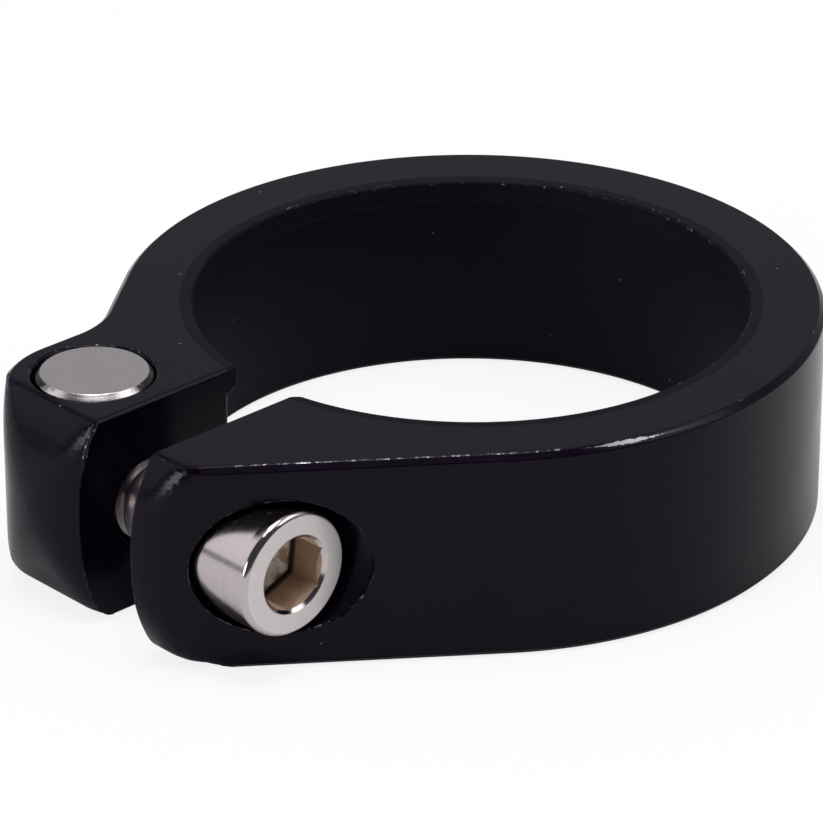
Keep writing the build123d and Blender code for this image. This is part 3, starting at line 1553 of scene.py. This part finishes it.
@dataclass
class Studio:
    """Camera, floor and soft light."""

    lens_mm: float = 227.46
    eye: Vector = field(default_factory=lambda: Vector((203.17, -196.37, 140.61)))
    right: Vector = field(default_factory=lambda: Vector((0.6858, 0.7278, 0.0)))
    up: Vector = field(default_factory=lambda: Vector((-0.3267, 0.3079, 0.8936)))
    floor_z: float = -6.5
    floor_reach: float = 1500.0
    world_level: float = 0.44
    dim_level: float = 0.06

    def camera(self) -> None:
        """Adds the camera at the picture's viewing angle."""
        data = bpy.data.cameras.new("camera")
        data.lens = self.lens_mm
        data.sensor_width = 36.0
        data.clip_start = 0.01
        data.clip_end = 20.0
        eye = bpy.data.objects.new("camera", data)
        bpy.context.scene.collection.objects.link(eye)
        right = self.right.normalized()
        up = (self.up - right * self.up.dot(right)).normalized()
        back = right.cross(up)
        eye.matrix_world = Matrix.Translation(self.eye * MM) @ Matrix((right, up, back)).transposed().to_4x4()
        bpy.context.scene.camera = eye

    def floor(self) -> None:
        """Adds the pale floor."""
        bm = bmesh.new()
        bmesh.ops.create_circle(bm, cap_ends=True, segments=96, radius=self.floor_reach)
        bmesh.ops.translate(bm, vec=(0, 0, self.floor_z), verts=bm.verts)
        piece = Shop.to_object(bm, "floor")
        Shop.to_metres(piece)
        dress(piece, FloorWhite().make())

    def lamp(self, name: str, azimuth: float, elevation: float, width: float, height: float, watts: float) -> None:
        """Adds one soft lamp that faces the origin.

        Args:
            name: Name of the lamp.
            azimuth: Direction seen from above, in degrees from +X.
            elevation: Height above the floor's plane, in degrees.
            width: Width of the lamp, in metres.
            height: Height of the lamp, in metres.
            watts: Power of the lamp.
        """
        data = bpy.data.lights.new(name, "AREA")
        data.shape = "RECTANGLE"
        data.size = width
        data.size_y = height
        data.energy = watts
        lamp = bpy.data.objects.new(name, data)
        bpy.context.scene.collection.objects.link(lamp)
        level = math.cos(math.radians(elevation))
        out = Vector(
            (
                level * math.cos(math.radians(azimuth)),
                level * math.sin(math.radians(azimuth)),
                math.sin(math.radians(elevation)),
            )
        )
        lamp.matrix_world = Matrix.Translation(out) @ out.to_track_quat("Z", "Y").to_matrix().to_4x4()

    def light(self) -> None:
        """Adds the soft lamps and a world light that is dimmer on the viewer's side."""
        world = bpy.data.worlds.new("studio")
        world.use_nodes = True
        background = world.node_tree.nodes["Background"]
        background.inputs["Color"].default_value = (1.0, 1.0, 1.0, 1.0)
        graph = Graph(world.node_tree)
        x, y, _ = graph.parts(graph.node("TexCoord").outputs["Generated"])
        level = self.eye.xy.normalized()
        nearer = graph.weigh((x, level.x), (y, level.y))
        graph.feed(background.inputs["Strength"], graph.ramp(nearer, -0.1, 0.35, self.world_level, self.dim_level))
        bpy.context.scene.world = world
        self.lamp("lamp_top", -43.0, 84.0, 0.5, 0.5, 6.2)
        self.lamp("lamp_right", 38.0, 46.0, 0.5, 0.5, 1.7)
        self.lamp("lamp_left", -137.0, 30.0, 0.5, 0.86, 1.05)
        self.lamp("lamp_front", -103.0, 11.0, 0.28, 0.28, 2.9)

    def build(self) -> None:
        """Sets up the whole studio."""
        bpy.context.scene.view_settings.view_transform = "Standard"
        self.camera()
        self.floor()
        self.light()


def main() -> None:
    """Builds the clamp and its studio in order and reports each piece."""
    logging.basicConfig(level=logging.INFO, format="%(name)s: %(message)s")
    Studio().build()
    for part in (Collar(), BarrelNut(), ClampBolt()):
        piece = part.build()
        part.dress()
        log.info("%s: %d faces", piece.name, len(piece.data.polygons))


if __name__ == "__main__":
    main()
